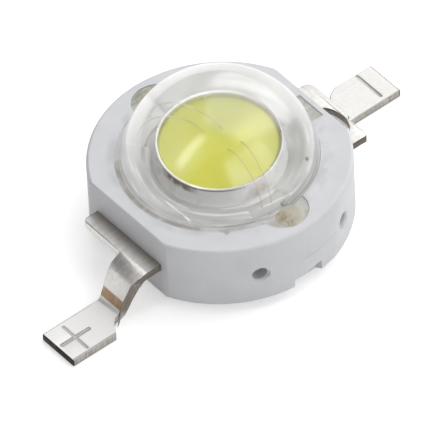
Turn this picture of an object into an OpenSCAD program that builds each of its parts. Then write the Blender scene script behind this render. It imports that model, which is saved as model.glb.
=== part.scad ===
/* Surface-mount power LED with a moulded housing, a heat slug, two formed
   leads and a clear domed lens. Millimetres. Z is up, the board is at Z = 0,
   and the anode lead points along +X. */

/* [Housing] */
// Diameter of the round housing
body_d = 8.0; // [7.8:0.1:8.4]
// Width of the housing across the two flats where the leads come out
body_flats = 7.2; // [7.0:0.05:7.4]
// Height of the housing top above the board
body_top = 2.65; // [2.6:0.05:2.8]
// Space between the board and the housing underside
body_lift = 0.2; // [0.1:0.05:0.3]
// Radius of the rounded outer edges
edge_round = 0.1; // [0.05:0.01:0.15]
// Diameter of the four small blind holes in the round wall
pin_hole_d = 0.48; // [0.3:0.02:0.6]
// Depth of the blind holes
pin_hole_depth = 0.45; // [0.2:0.05:0.5]
// Height of the blind holes above the board
pin_hole_z = 1.45; // [1.2:0.05:1.6]
// Angle between each blind hole and the middle of its pair
pin_hole_angle = 24.5; // [20:0.5:30]
// Angle of the middle of each pair past the middle of the round wall
pin_hole_turn = 1.9; // [0:0.1:3]
// Width of the notch in the bottom edge of each round wall
notch_w = 0.95; // [0.6:0.05:1.2]
// Height of the notch
notch_h = 0.34; // [0.2:0.02:0.4]
// How far the notch goes in from the wall
notch_in = 0.4; // [0.2:0.05:0.6]
// Height of the ledge above the shallow flat on each round wall
ledge_z = 1.37; // [1.1:0.01:1.5]
// Depth of the shallow flat below the ledge
ledge_depth = 0.06; // [0.03:0.01:0.1]
// Length of the shallow flat along the wall
ledge_w = 2.4; // [2.0:0.1:3.0]
// Angle of the shallow flat past the middle of the round wall
ledge_turn = 8.7; // [0:0.1:12]
// Depth of the gel well round the cup below the lens seat
well_depth = 0.05; // [0.03:0.01:0.12]
// Depth of the two windows that bare the bonding rings
window_depth = 0.04; // [0.03:0.01:0.08]
// Angle that each window covers
window_angle = 32; // [20:1:36]

/* [Lens] */
// Radius of the dome
dome_r = 3.03; // [2.95:0.01:3.1]
// Depth of the lens seat below the housing top
seat_depth = 0.3; // [0.25:0.05:0.4]
// Gap between the lens edge and the wall of its seat
lens_clear = 0.02; // [0.01:0.005:0.04]
// Radius of the two round ears of the lens
ear_r = 0.78; // [0.74:0.01:0.8]
// Distance of the ear centres from the middle
ear_centre = 2.95; // [2.9:0.01:3.0]
// Diameter of the filling hole in each ear
fill_hole_d = 0.68; // [0.5:0.02:0.7]
// Distance of the filling holes from the middle
fill_hole_centre = 3.28; // [3.24:0.01:3.3]
// Width of the gate tab on the cathode side
gate_w = 1.1; // [0.8:0.05:1.3]
// How far the gate tab reaches from the middle
gate_reach = 3.4; // [3.25:0.01:3.45]
// Sideways offset of the gate tab
gate_shift = 0.2; // [-0.3:0.05:0.3]
// How far the two small key points reach from the middle
key_reach = 3.28; // [3.2:0.01:3.35]
// Half the width of a key point at its root
key_root = 0.36; // [0.25:0.01:0.45]
// Angle of the first key point, half a turn from the second
key_turn = 54; // [48:1:60]
// Drop of the ears below the housing top
ear_drop = 0.03; // [0.01:0.01:0.1]
// Drop of the centre of the dome below the housing top
dome_drop = 0.35; // [0.3:0.01:0.4]
// Space between the slug barrel and the edge of the hollow under the dome
hollow_gap = 0.88; // [0.84:0.01:0.95]
// Height of the hollow under the dome
hollow_h = 1.0; // [0.95:0.05:1.2]

/* [Heat slug] */
// Diameter of the slug base on the board
slug_base_d = 5.8; // [5.2:0.1:6.0]
// Height of the slug base
slug_base_h = 0.9; // [0.7:0.05:0.95]
// Diameter of the shoulder between the base and the barrel
shoulder_d = 4.0; // [3.6:0.1:4.4]
// Height of the shoulder above the board
shoulder_z = 1.2; // [1.0:0.05:1.3]
// Diameter of the slug barrel and of the cup rim
barrel_d = 2.84; // [2.8:0.02:3.0]
// Height of the cup rim above the board
rim_z = 2.84; // [2.75:0.01:2.88]
// Width of the flat cup rim
rim_w = 0.06; // [0.04:0.01:0.1]
// Depth of the cup
cup_depth = 0.65; // [0.5:0.05:0.75]
// Diameter of the cup floor
cup_floor_d = 1.9; // [1.7:0.05:2.1]

/* [Leads] */
// Thickness of the lead strip
strip_t = 0.25; // [0.2:0.01:0.28]
// Height of the top of the crossbars above the board
lead_top = 1.64; // [1.6:0.01:1.7]
// Length over both lead tips
tip_span = 14.5; // [13.8:0.1:15]
// Length of the anode crossbar along the flat
anode_bar_w = 3.0; // [2.8:0.05:3.2]
// Sideways offset of the anode crossbar towards its foot
anode_bar_shift = 0.04; // [-0.05:0.01:0.1]
// How far the anode crossbar stands out from the flat
anode_bar_out = 0.56; // [0.45:0.01:0.62]
// How far from the flat the anode lead starts to bend down
anode_bend_out = 0.49; // [0.4:0.01:0.6]
// Length of the cathode crossbar along the flat
cathode_bar_w = 2.9; // [2.7:0.05:3.1]
// Sideways offset of the cathode crossbar towards its foot
cathode_bar_shift = -0.07; // [-0.1:0.01:0.05]
// How far the cathode crossbar stands out from the flat
cathode_bar_out = 0.92; // [0.9:0.01:1.0]
// How far from the flat the cathode lead starts to bend down
cathode_bend_out = 0.64; // [0.6:0.01:0.75]
// Diameter of the hole in the cathode crossbar
key_hole_d = 1.7; // [1.4:0.05:1.75]
// Radius of the outer corners of the crossbars
bar_corner = 0.2; // [0.1:0.01:0.25]
// Inner radius of the upper bend
upper_bend_r = 0.37; // [0.3:0.01:0.42]
// Inner radius of the lower bend
lower_bend_r = 0.13; // [0.1:0.01:0.2]
// Angle of the sloping part of the leads
slope = 68; // [60:1:75]
// Width of the anode foot
anode_foot_w = 1.46; // [1.3:0.01:1.6]
// Width of the cathode foot
cathode_foot_w = 1.4; // [1.3:0.01:1.6]
// Distance of the inner edge of each foot from the centre line
foot_edge = 0.33; // [0.25:0.01:0.4]
// Distance of the edge of the cathode neck past the centre line
neck_edge = 0.46; // [0.4:0.01:0.6]
// Distance of the hole in the cathode crossbar from the centre line
key_hole_shift = 0.36; // [0.3:0.01:0.4]
// Radius of the fillets between the crossbars and the necks
neck_fillet = 0.1; // [0.06:0.01:0.14]
// Distance of the outer edge of the bonding rings inside the edge of the hollow
ring_edge = 0.1; // [0.05:0.01:0.15]
// Gap between the slug barrel and the bonding rings
ring_gap = 0.15; // [0.12:0.01:0.25]
// Angle that each bonding ring covers
ring_angle = 170; // [160:1:172]
// Direction of the middle of the anode ring
ring_turn = 35; // [30:1:40]
// Width of the riser between each crossbar and its ring
riser_w = 1.2; // [0.8:0.1:1.4]

/* [Chip and wires] */
// Width of the square chip
chip_w = 1.1; // [1.0:0.05:1.15]
// Thickness of the chip
chip_t = 0.15; // [0.1:0.01:0.2]
// Thickness of the bond layer under the chip
attach_t = 0.03; // [0.02:0.01:0.05]
// Diameter of the bond wires
wire_d = 0.03; // [0.025:0.005:0.04]
// Distance from the slug barrel to the wire ends on the bonding rings
wire_land = 0.36; // [0.3:0.01:0.45]
// Rise of the control points of the wire loops above the cup rim
wire_rise = 0.45; // [0.4:0.01:0.5]
// Depth of the edge of the phosphor below the cup rim
phosphor_drop = 0.12; // [0.05:0.01:0.2]
// Rise of the phosphor from its edge to its middle
phosphor_rise = 0.1; // [0.06:0.01:0.12]

/* [Hidden] */
$fn = 96;
eps = 0.5;
body_r = body_d / 2;
seat_z = body_top - seat_depth;
ear_top = body_top - ear_drop;
dome_z = body_top - dome_drop;
barrel_r = barrel_d / 2;
cup_r = barrel_r - rim_w;
hollow_r = barrel_r + hollow_gap;
cup_z = rim_z - cup_depth;
hollow_sphere_r = (hollow_r * hollow_r + hollow_h * hollow_h) / (2 * hollow_h);
hollow_sphere_z = seat_z + hollow_h - hollow_sphere_r;
shoulder_r = shoulder_d / 2;
key_root_r = dome_r - 0.23;
fill_hole_r = fill_hole_d / 2;
well_z = seat_z - well_depth;
ring_top = well_z - window_depth;
cup_floor_r = cup_floor_d / 2;
fill_depth = cup_depth - phosphor_drop;
fill_r = cup_floor_r + (cup_r - cup_floor_r) * fill_depth / cup_depth;
phosphor_r = (fill_r * fill_r + phosphor_rise * phosphor_rise) / (2 * phosphor_rise);
phosphor_z = cup_z + fill_depth + phosphor_rise - phosphor_r;
attach_z = cup_z + attach_t;
chip_z = attach_z + chip_t;
bar_low = lead_top - strip_t;
ring_in = barrel_r + ring_gap;
ring_out = hollow_r - ring_edge;
window_in = ring_in - 0.05;
window_out = ring_out - 0.05;
flat_x = body_flats / 2;
anode_bar_x = flat_x + anode_bar_out;
cathode_bar_x = flat_x + cathode_bar_out;
upper_out_r = upper_bend_r + strip_t;
lower_out_r = lower_bend_r + strip_t;
upper_z = lead_top - upper_out_r;
lower_z = strip_t + lower_bend_r;
bend_run = (upper_out_r + lower_bend_r - (lower_z - upper_z) * cos(slope)) / sin(slope);
anode_foot_x = flat_x + anode_bend_out + bend_run;
cathode_foot_x = flat_x + cathode_bend_out + bend_run;
tip_x = tip_span / 2;
// Where the crossbars start inside the housing, under the risers
riser_x = ring_in + 0.28;
// Directions of the windows, over the ends of the wires
anode_window = 90;
cathode_window = -78;
wire_end_r = barrel_r + wire_land;

// Each wire: its start as a share of the chip's width, and the direction of its
// end on a bonding ring
function ring_point(turn) = wire_end_r * [cos(turn), sin(turn)];
wire_1_from = chip_w * [-0.118, -0.027];
wire_1_to = ring_point(anode_window - 4.5);
wire_2_from = chip_w * [-0.445, 0];
wire_2_to = ring_point(anode_window + 4.5);
wire_3_from = chip_w * [-0.109, -0.382];
wire_3_to = ring_point(cathode_window + 7.9);
wire_4_from = chip_w * [-0.4, -0.2];
wire_4_to = ring_point(cathode_window - 8.4);

// The two small key points on the rim of the lens, grown by a gap
module key_points(gap) {
  tip = key_root / 12;
  for (turn = [key_turn, key_turn + 180]) {
    rotate(turn) polygon([
      [key_root_r, -key_root - gap], [key_reach + gap, -tip],
      [key_reach + gap, tip], [key_root_r, key_root + gap]
    ]);
  }
}

// Outline of the lens from above, grown by a gap for its seat
module lens_plan(gap) {
  circle(r = dome_r + gap);
  for (side = [-1, 1]) {
    translate([0, side * ear_centre]) circle(r = ear_r + gap);
  }
  translate([-gate_reach - gap, gate_shift - gate_w / 2 - gap]) square([1, gate_w + 2 * gap]);
  key_points(gap);
}

// Ears, gate tab and key points of the lens without the round middle
module lens_ears() {
  for (side = [-1, 1]) {
    translate([0, side * ear_centre]) circle(r = ear_r);
  }
  translate([-gate_reach, gate_shift - gate_w / 2]) square([1, gate_w]);
  key_points(0);
}

// Round moulded block with rounded edges and two flats
module housing_block() {
  intersection() {
    rotate_extrude() {
      translate([0, body_lift]) square([body_r - edge_round, body_top - body_lift]);
      translate([0, body_lift + edge_round]) square([body_r, body_top - body_lift - 2 * edge_round]);
      translate([body_r - edge_round, body_lift + edge_round]) circle(r = edge_round);
      translate([body_r - edge_round, body_top - edge_round]) circle(r = edge_round);
    }
    translate([-flat_x, -body_d, 0]) cube([body_flats, 2 * body_d, 5]);
  }
}

// Space under the lens that the gel fills: the well round the cup, a channel to
// each filling hole, and the windows over the bonding rings
module gel_space() {
  translate([0, 0, well_z]) cylinder(h = well_depth, r = hollow_r);
  for (side = [-1, 1]) {
    translate([-fill_hole_r, side > 0 ? ring_in : -fill_hole_centre, well_z])
      cube([fill_hole_d, fill_hole_centre - ring_in, well_depth]);
    translate([0, side * fill_hole_centre, well_z])
      cylinder(h = well_depth, r = fill_hole_r);
  }
  translate([0, 0, ring_top]) linear_extrude(window_depth) {
    window_plan(anode_window);
    window_plan(cathode_window);
  }
}

// One window from above
module window_plan(turn) {
  reach = ring_out + 1;
  side = reach * sin(window_angle / 2);
  intersection() {
    difference() {
      circle(r = window_out);
      circle(r = window_in);
    }
    rotate(turn) polygon([[0, 0], [reach, -side], [reach, side]]);
  }
}

// White housing moulded round the slug and the leads
module housing() {
  color([0.93, 0.93, 0.94])
  difference() {
    housing_block();
    translate([0, 0, seat_z]) linear_extrude(1) lens_plan(lens_clear);
    gel_space();
    slug_body();
    anode_strip();
    cathode_strip();
    for (turn = [90, 270]) {
      for (side = [-1, 1]) {
        rotate([0, 0, turn + pin_hole_turn + side * pin_hole_angle])
          translate([body_r - pin_hole_depth, 0, pin_hole_z])
          rotate([0, 90, 0]) cylinder(h = 1, d = pin_hole_d);
      }
      rotate([0, 0, turn]) translate([body_r - notch_in, -notch_w / 2, 0])
        cube([1, notch_w, body_lift + notch_h]);
      rotate([0, 0, turn + ledge_turn]) translate([body_r - ledge_depth, -ledge_w / 2, 0])
        cube([1, ledge_w, ledge_z]);
    }
  }
}

// Solid form of the slug without its cup
module slug_body() {
  cylinder(h = slug_base_h, d = slug_base_d);
  cylinder(h = shoulder_z, r = shoulder_r);
  cylinder(h = rim_z, r = barrel_r);
}

// Plated copper slug with the reflector cup in its top
// Space in the cup of the slug
module cup() {
  translate([0, 0, cup_z]) cylinder(h = cup_depth, r1 = cup_floor_r, r2 = cup_r);
}

module heat_slug() {
  color([0.80, 0.80, 0.79])
  difference() {
    slug_body();
    cup();
  }
}

// Points along an arc round a centre
function arc(centre, r, from, to) =
  [for (i = [0:6]) centre + r * [cos(from + (to - from) * i / 6), sin(from + (to - from) * i / 6)]];

// Side view of a lead: crossbar, upper bend, slope, lower bend and foot
module lead_profile(bend_x) {
  foot_x = bend_x + bend_run;
  polygon(concat(
    [[riser_x, bar_low], [riser_x, lead_top]],
    arc([bend_x, upper_z], upper_out_r, 90, 90 - slope),
    arc([foot_x, lower_z], lower_bend_r, 270 - slope, 270),
    [[tip_x, strip_t], [tip_x, 0]],
    arc([foot_x, lower_z], lower_out_r, 270, 270 - slope),
    arc([bend_x, upper_z], upper_bend_r, 90 - slope, 90)
  ));
}

// Crossbar edge from above: the round outer corner, then the fillet to the neck
function bar_edge(edge, low, neck) = concat(
  [[riser_x - 1, low]],
  arc([edge - bar_corner, low + bar_corner], bar_corner, -90, 0),
  arc([edge + neck_fillet, neck - neck_fillet], neck_fillet, 180, 90)
);

// Anode lead from above: a straight neck on the side of the foot
module anode_plan() {
  low = anode_bar_shift - anode_bar_w / 2;
  high = anode_bar_shift + anode_bar_w / 2;
  foot_far = foot_edge + anode_foot_w;
  polygon(concat(bar_edge(anode_bar_x, low, foot_edge), [
    [tip_x, foot_edge], [tip_x, foot_far],
    [anode_foot_x + 0.44, foot_far], [anode_foot_x + 0.18, foot_far - 0.4],
    [anode_foot_x + 0.04, foot_far - 0.52], [anode_foot_x - 0.24, foot_far - 0.52],
    [anode_foot_x - 0.54, high - 0.14], [anode_bar_x + 0.22, high],
    [riser_x - 1, high]
  ]));
}

// Cathode lead from above, drawn half a turn round: a wide neck that narrows
// past the bend
module cathode_plan() {
  low = cathode_bar_shift - cathode_bar_w / 2;
  high = cathode_bar_shift + cathode_bar_w / 2;
  foot_far = foot_edge + cathode_foot_w;
  difference() {
    polygon(concat(bar_edge(cathode_bar_x, low, -neck_edge), [
      [cathode_bar_x + 0.22, -neck_edge],
      [cathode_foot_x - 0.44, foot_edge - 0.35], [cathode_foot_x - 0.3, foot_edge - 0.05],
      [cathode_foot_x - 0.1, foot_edge], [tip_x, foot_edge], [tip_x, foot_far],
      [cathode_foot_x + 0.5, foot_far], [cathode_foot_x + 0.2, foot_far - 0.16],
      [cathode_foot_x + 0.05, foot_far - 0.4], [cathode_foot_x - 0.3, high - 0.04],
      [cathode_bar_x, high], [riser_x - 1, high]
    ]));
    translate([flat_x, -key_hole_shift]) circle(d = key_hole_d);
  }
}

// Bonding ring inside the housing
module ring_plan() {
  half = ring_angle / 2;
  intersection() {
    difference() {
      circle(r = ring_out);
      circle(r = ring_in);
    }
    rotate(ring_turn) polygon([
      [0, 0], [5 * cos(half), -5 * sin(half)], [5, -5 * sin(half)],
      [5, 5 * sin(half)], [5 * cos(half), 5 * sin(half)]
    ]);
  }
}

// Formed strip of one lead: its side view cut to its outline, with the riser
// that carries its bonding ring
module strip(bend_x) {
  intersection() {
    translate([0, 3, 0]) rotate([90, 0, 0]) linear_extrude(6) lead_profile(bend_x);
    linear_extrude(3) children();
  }
  translate([riser_x, -riser_w / 2, bar_low]) cube([strip_t, riser_w, ring_top - bar_low]);
  translate([0, 0, ring_top - strip_t]) linear_extrude(strip_t) ring_plan();
}

module anode_strip() {
  strip(flat_x + anode_bend_out) anode_plan();
}

module cathode_strip() {
  rotate([0, 0, 180]) strip(flat_x + cathode_bend_out) cathode_plan();
}

module anode_lead() {
  color([0.75, 0.74, 0.72]) anode_strip();
}

module cathode_lead() {
  color([0.75, 0.74, 0.72]) cathode_strip();
}

// Hollow under the dome
module hollow() {
  intersection() {
    translate([0, 0, hollow_sphere_z]) sphere(r = hollow_sphere_r);
    translate([0, 0, seat_z]) cylinder(h = 3, r = hollow_r + 1);
  }
}

// Clear domed lens with its ears, filling holes and gate tab
module lens() {
  color([0.86, 0.88, 0.90, 0.4])
  difference() {
    union() {
      intersection() {
        translate([0, 0, dome_z]) sphere(r = dome_r);
        translate([0, 0, seat_z]) cylinder(h = 5, r = 4);
      }
      translate([0, 0, seat_z]) linear_extrude(ear_top - seat_z) lens_ears();
    }
    hollow();
    for (side = [-1, 1]) {
      translate([0, side * fill_hole_centre, seat_z - eps])
        cylinder(h = 3, r = fill_hole_r);
    }
  }
}

// Clear gel between the housing, the cup and the lens
module gel_fill() {
  color([0.90, 0.88, 0.80, 0.5])
  difference() {
    union() {
      gel_space();
      hollow();
      for (side = [-1, 1]) {
        translate([0, side * fill_hole_centre, seat_z])
          cylinder(h = ear_top - seat_z, r = fill_hole_r);
      }
    }
    difference() {
      cylinder(h = rim_z, r = barrel_r);
      cup();
    }
    phosphor_body();
    wires();
  }
}

// Phosphor filling of the cup, with a slightly raised top
module phosphor_body() {
  intersection() {
    cup();
    translate([0, 0, phosphor_z]) sphere(r = phosphor_r);
  }
}

module phosphor_fill() {
  color([0.88, 0.93, 0.25])
  difference() {
    phosphor_body();
    translate([-chip_w / 2, -chip_w / 2, cup_z]) cube([chip_w, chip_w, attach_t + chip_t]);
    wires();
  }
}

module led_chip() {
  color([0.35, 0.45, 0.65])
    translate([-chip_w / 2, -chip_w / 2, attach_z]) cube([chip_w, chip_w, chip_t]);
}

module die_attach() {
  color([0.70, 0.70, 0.70])
    translate([-chip_w / 2, -chip_w / 2, cup_z]) cube([chip_w, chip_w, attach_t]);
}

// Height and position along a wire loop, from 0 on the chip to 1 on the ring
wire_steps = 14;
wire_sides = 6;
loop_top = rim_z + wire_rise;
function blend(a, b, c, d, t) = (1 - t) * (1 - t) * (1 - t) * a + 3 * (1 - t) * (1 - t) * t * b
  + 3 * (1 - t) * t * t * c + t * t * t * d;
function loop_z(t) = blend(chip_z + 0.03, loop_top, loop_top, ring_top + 0.02, t);
function loop_s(t) = blend(0, 0, 1, 1, t);
function loop_dz(t) = 3 * (1 - t) * (1 - t) * (loop_top - chip_z - 0.03)
  - 3 * t * t * (loop_top - ring_top - 0.02);
function loop_ds(t) = 6 * (1 - t) * t;

// One ring of corners round the wire at step i; steps below 0 and above the
// last one are the ball on the chip and the flattened end on the bonding ring
function wire_ring(from, to, i) =
  let (
    reach = to - from,
    len = norm(reach),
    along = reach / len,
    across = [-along[1], along[0]],
    t = max(0, min(1, i / wire_steps)),
    ds = loop_ds(t) * len,
    dz = loop_dz(t),
    m = sqrt(ds * ds + dz * dz),
    r = i < 0 || i > wire_steps ? wire_d * 1.3 : wire_d / 2,
    lift = i == -2 ? chip_z : i == -1 ? chip_z + 0.03
      : i == wire_steps + 1 ? ring_top + 0.02 : i == wire_steps + 2 ? ring_top : loop_z(t),
    nx = i < 0 || t == 0 ? -1 : i >= wire_steps ? 1 : -dz / m,
    nz = i < 0 || t == 0 || i >= wire_steps ? 0 : ds / m
  )
  [for (k = [0:wire_sides - 1])
    let (
      a = 360 * k / wire_sides,
      n = r * cos(a),
      c = r * sin(a),
      h = loop_s(t) * len + n * nx
    )
    [from[0] + along[0] * h + across[0] * c, from[1] + along[1] * h + across[1] * c, lift + n * nz]
  ];

module wire(from, to) {
  rings = [for (i = [-2:wire_steps + 2]) each wire_ring(from, to, i)];
  count = wire_steps + 5;
  n = wire_sides;
  polyhedron(
    points = rings,
    faces = concat(
      [[for (k = [0:n - 1]) k]],
      [[for (k = [0:n - 1]) (count - 1) * n + n - 1 - k]],
      [for (i = [0:count - 2]) for (k = [0:n - 1])
        [i * n + k, (i + 1) * n + k, (i + 1) * n + (k + 1) % n]],
      [for (i = [0:count - 2]) for (k = [0:n - 1])
        [i * n + k, (i + 1) * n + (k + 1) % n, i * n + (k + 1) % n]]
    )
  );
}

module wires() {
  wire(wire_1_from, wire_1_to);
  wire(wire_2_from, wire_2_to);
  wire(wire_3_from, wire_3_to);
  wire(wire_4_from, wire_4_to);
}

module bond_wire_1() {
  color([0.85, 0.65, 0.20]) wire(wire_1_from, wire_1_to);
}

module bond_wire_2() {
  color([0.85, 0.65, 0.20]) wire(wire_2_from, wire_2_to);
}

module bond_wire_3() {
  color([0.85, 0.65, 0.20]) wire(wire_3_from, wire_3_to);
}

module bond_wire_4() {
  color([0.85, 0.65, 0.20]) wire(wire_4_from, wire_4_to);
}

housing();
heat_slug();
anode_lead();
cathode_lead();
lens();
gel_fill();
phosphor_fill();
led_chip();
die_attach();
bond_wire_1();
bond_wire_2();
bond_wire_3();
bond_wire_4();
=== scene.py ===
"""Surface-mount power LED: its visible pieces, their finishes and the studio, in the frame of the solids."""

import math

import bmesh
import bpy
from bpy.props import FloatProperty, FloatVectorProperty, PointerProperty
from mathutils import Matrix, Quaternion, Vector, noise


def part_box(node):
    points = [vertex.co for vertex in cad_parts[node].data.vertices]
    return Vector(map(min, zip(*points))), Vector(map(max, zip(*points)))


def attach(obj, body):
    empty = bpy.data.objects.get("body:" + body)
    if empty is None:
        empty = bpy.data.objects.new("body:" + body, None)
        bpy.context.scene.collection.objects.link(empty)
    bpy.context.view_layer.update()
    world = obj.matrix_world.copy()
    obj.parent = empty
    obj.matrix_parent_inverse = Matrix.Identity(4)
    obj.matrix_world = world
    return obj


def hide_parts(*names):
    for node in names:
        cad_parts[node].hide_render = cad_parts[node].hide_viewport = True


bl_info = {
    "name": "Power LED",
    "version": (1, 0, 0),
    "blender": (4, 5, 0),
    "location": "View3D > Sidebar > Power LED",
    "description": "Builds the pieces, finishes and studio of a surface-mount power LED",
    "category": "Mesh",
}

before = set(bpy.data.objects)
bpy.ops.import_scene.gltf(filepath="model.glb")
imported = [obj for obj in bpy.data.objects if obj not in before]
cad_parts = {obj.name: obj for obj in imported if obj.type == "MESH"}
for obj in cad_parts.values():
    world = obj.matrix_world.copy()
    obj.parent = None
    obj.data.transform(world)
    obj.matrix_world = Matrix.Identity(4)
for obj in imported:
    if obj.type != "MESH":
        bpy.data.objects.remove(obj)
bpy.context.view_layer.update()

MM = 0.001
BODY = "root"

# Sizes from here on are in millimetres and turns in degrees

# Housing: seat and well of the lens, windows over the wire ends, channels to the filling holes
SEAT_Z = 2.35
WELL_Z = 2.3
HOLLOW_R = 2.3
WINDOWS = (90, -78)
WINDOW_IN = 1.52
WINDOW_OUT = 2.15
WINDOW_HALF = 16
CHANNEL_HALF = 0.3

# Housing: blind holes, notches and shallow flats in the two round walls
PIN_Z = 1.45
PIN_R = 0.24
PIN_MOUTH_R = 0.30
PIN_DEPTH = 0.45
PIN_TURN = 1.9
PIN_SPREAD = 24.5
NOTCH_FROM = -0.475
NOTCH_TO = 0.64
NOTCH_HIGH = 0.55
LEDGE_Z = 1.37
LEDGE_DEPTH = 0.06
LEDGE_HALF = 1.2
LEDGE_TURN = 8.7

# Heat slug with its cup, and the phosphor in the cup
SLUG_R = 2.9
SLUG_Z = 0.9
NECK_R = 2.0
NECK_Z = 1.2
BARREL_R = 1.42
RIM_Z = 2.84
CUP_R = 1.36
CUP_FLOOR_R = 0.95
CUP_Z = 2.19
FILL_R = 1.284
FILL_Z = 2.72

# Lens: ears with their filling holes, gate tab and key points
EAR_Y = 2.95
EAR_R = 0.78
EAR_TOP = 2.62
FILL_HOLE_R = 0.34
FILL_HOLE_Y = 3.28
GATE_X = 3.4
GATE_Y = 0.2
GATE_HALF = 0.55
KEY_TURN = 54
KEY_ROOT = 2.8
KEY_TIP = 3.28
KEY_HALF = 0.36

# Leads: bonding rings, risers, crossbars, bends, feet and the round hole of the cathode
RING_TOP = 2.26
RING_IN = 1.57
RING_OUT = 2.2
RING_TURN = 35
RING_HALF = 85
RISER_X = 1.85
RISER_HALF = 0.6
LEAD_TOP = 1.64
BAR_LOW = 1.39
ANODE_BAR = (-1.46, 1.54)
CATHODE_BAR = (-1.52, 1.38)
UPPER_BEND = 0.37
LOWER_BEND = 0.13
TIP_X = 7.25
FLAT_X = 3.6
HOLE_Y = -0.36
HOLE_R = 0.85

# Wires: heights of the ball on the chip and of the arch, and radius of the stitches on the rings
BALL_Z = 2.4
ARCH = 0.45
STITCH_R = 1.78

# Camera at the photograph's angle, its focal length in pixels of a square picture
CAMERA_TURN = 142.61
CAMERA_LIFT = 46.18
CAMERA_ROLL = -3.09
CAMERA_AWAY = 415.44
CAMERA_RIGHT = -0.24
CAMERA_UP = 0.06
FOCAL_PIXELS = 13846.27
PICTURE_PIXELS = 430
SENSOR = 36

PALE_PHOSPHOR = (0.62, 0.64, 0.20)
DEEP_PHOSPHOR = (0.56, 0.55, 0.035)
# Resin under the dome: painted shade, and painted light on the far side of the cup
SHADED_WELL_RESIN = (0.50, 0.50, 0.495)
LIT_FAR_RESIN = (0.83, 0.83, 0.825)
WELL_GLINT = (0.92, 0.92, 0.92)
BRIGHT_PLATING = (0.86, 0.86, 0.86)


def top_of(node):
    """Height of a node's highest point, in millimetres."""
    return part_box(node)[1].z / MM


def low_of(node):
    """Height of a node's lowest point, in millimetres."""
    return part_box(node)[0].z / MM


class HousingSettings(bpy.types.PropertyGroup):
    diameter: FloatProperty(name="Diameter", description="Diameter of the round housing",
                            default=0.008, unit="LENGTH")
    flats: FloatProperty(name="Across flats", description="Width across the two flats where the leads come out",
                         default=0.0072, unit="LENGTH")
    edge: FloatProperty(name="Edge radius", description="Radius of the moulded outer edges",
                        default=0.0001, unit="LENGTH")
    colour: FloatVectorProperty(name="Resin", description="Colour of the white moulded resin",
                                default=(0.712, 0.718, 0.742), size=3, subtype="COLOR")


class LensSettings(bpy.types.PropertyGroup):
    dome_radius: FloatProperty(name="Dome radius", description="Radius of the clear dome",
                               default=0.00303, unit="LENGTH")
    hollow_radius: FloatProperty(name="Hollow radius", description="Radius of the hollow under the dome",
                                 default=0.0023, unit="LENGTH")
    hollow_height: FloatProperty(name="Hollow height", description="Height of the hollow under the dome",
                                 default=0.001, unit="LENGTH")
    gel_tint: FloatVectorProperty(name="Gel", description="Tint of the clear gel under the dome",
                                  default=(0.985, 0.98, 0.965), size=3, subtype="COLOR")


class LeadSettings(bpy.types.PropertyGroup):
    thickness: FloatProperty(name="Strip thickness", description="Thickness of the lead strip",
                             default=0.00025, unit="LENGTH")
    slope: FloatProperty(name="Slope", description="Angle of the sloping part of the leads",
                         default=math.radians(68), subtype="ANGLE")
    groove: FloatProperty(name="Sign depth", description="Depth of the stamped plus and minus signs",
                          default=0.00003, unit="LENGTH")
    colour: FloatVectorProperty(name="Plating", description="Colour of the plating on the leads",
                                default=(0.86, 0.845, 0.82), size=3, subtype="COLOR")


class CupSettings(bpy.types.PropertyGroup):
    phosphor: FloatVectorProperty(name="Phosphor", description="Colour of the phosphor over the chip",
                                  default=(0.625, 0.63, 0.08), size=3, subtype="COLOR")
    wire: FloatProperty(name="Wire diameter", description="Diameter of the bond wires",
                        default=0.00002, unit="LENGTH")


class StudioSettings(bpy.types.PropertyGroup):
    key: FloatProperty(name="Key light", description="Power of the soft light over the part, in watts",
                       default=3.88, min=0)
    fill: FloatProperty(name="World light", description="Strength of the even light from all round",
                        default=0.12, min=0)


def arc(centre, radius, start, end, steps):
    """Points on an arc round a centre, with both ends."""
    points = []
    for i in range(steps + 1):
        t = math.radians(start + (end - start) * i / steps)
        points.append((centre[0] + radius * math.cos(t), centre[1] + radius * math.sin(t)))
    return points


def cap_sphere(radius, rise):
    """Radius of the ball whose cap has a radius and a rise."""
    return (radius ** 2 + rise ** 2) / (2 * rise)


def cap(sphere, top, low, steps):
    """Side of a ball's cap, from a low level up to its top on the axis."""
    middle = top - sphere
    start = math.degrees(math.asin((low - middle) / sphere))
    side = [(r, middle + z) for r, z in arc((0, 0), sphere, start, 90, steps)]
    return side[:-1] + [(0, top)]


def turned(points, angle):
    """Outline points turned round the middle."""
    c, s = math.cos(math.radians(angle)), math.sin(math.radians(angle))
    return [(c * x - s * y, s * x + c * y) for x, y in points]


def loft(rings):
    """Closed skin through rings of points that all have the same count."""
    bm = bmesh.new()
    loops = [[bm.verts.new(p) for p in ring] for ring in rings]
    count = len(loops[0])
    for low, high in zip(loops, loops[1:]):
        for k in range(count):
            bm.faces.new((low[k], low[(k + 1) % count], high[(k + 1) % count], high[k]))
    bm.faces.new(list(reversed(loops[0])))
    bm.faces.new(loops[-1])
    return bm


def prism(outline, low, high):
    """Straight block over an outline seen from above."""
    return loft([[(x, y, z) for x, y in outline] for z in (low, high)])


def side_prism(outline, low, high):
    """Straight block across the lead, over an outline in X and Z."""
    return loft([[(x, y, z) for x, z in outline] for y in (high, low)])


def lathe(profile, steps=192):
    """Turned body: profile runs from the axis at the bottom to the axis at the top."""
    bm = bmesh.new()
    turns = [2 * math.pi * (k + 0.37) / steps for k in range(steps)]
    rings = []
    for r, z in profile:
        if r < 1e-6:
            rings.append([bm.verts.new((0, 0, z))])
        else:
            rings.append([bm.verts.new((r * math.cos(t), r * math.sin(t), z)) for t in turns])
    for low, high in zip(rings, rings[1:]):
        for k in range(steps):
            n = (k + 1) % steps
            if len(low) == 1:
                bm.faces.new((low[0], high[n], high[k]))
            elif len(high) == 1:
                bm.faces.new((low[k], low[n], high[0]))
            else:
                bm.faces.new((low[k], low[n], high[n], high[k]))
    return bm


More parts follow.
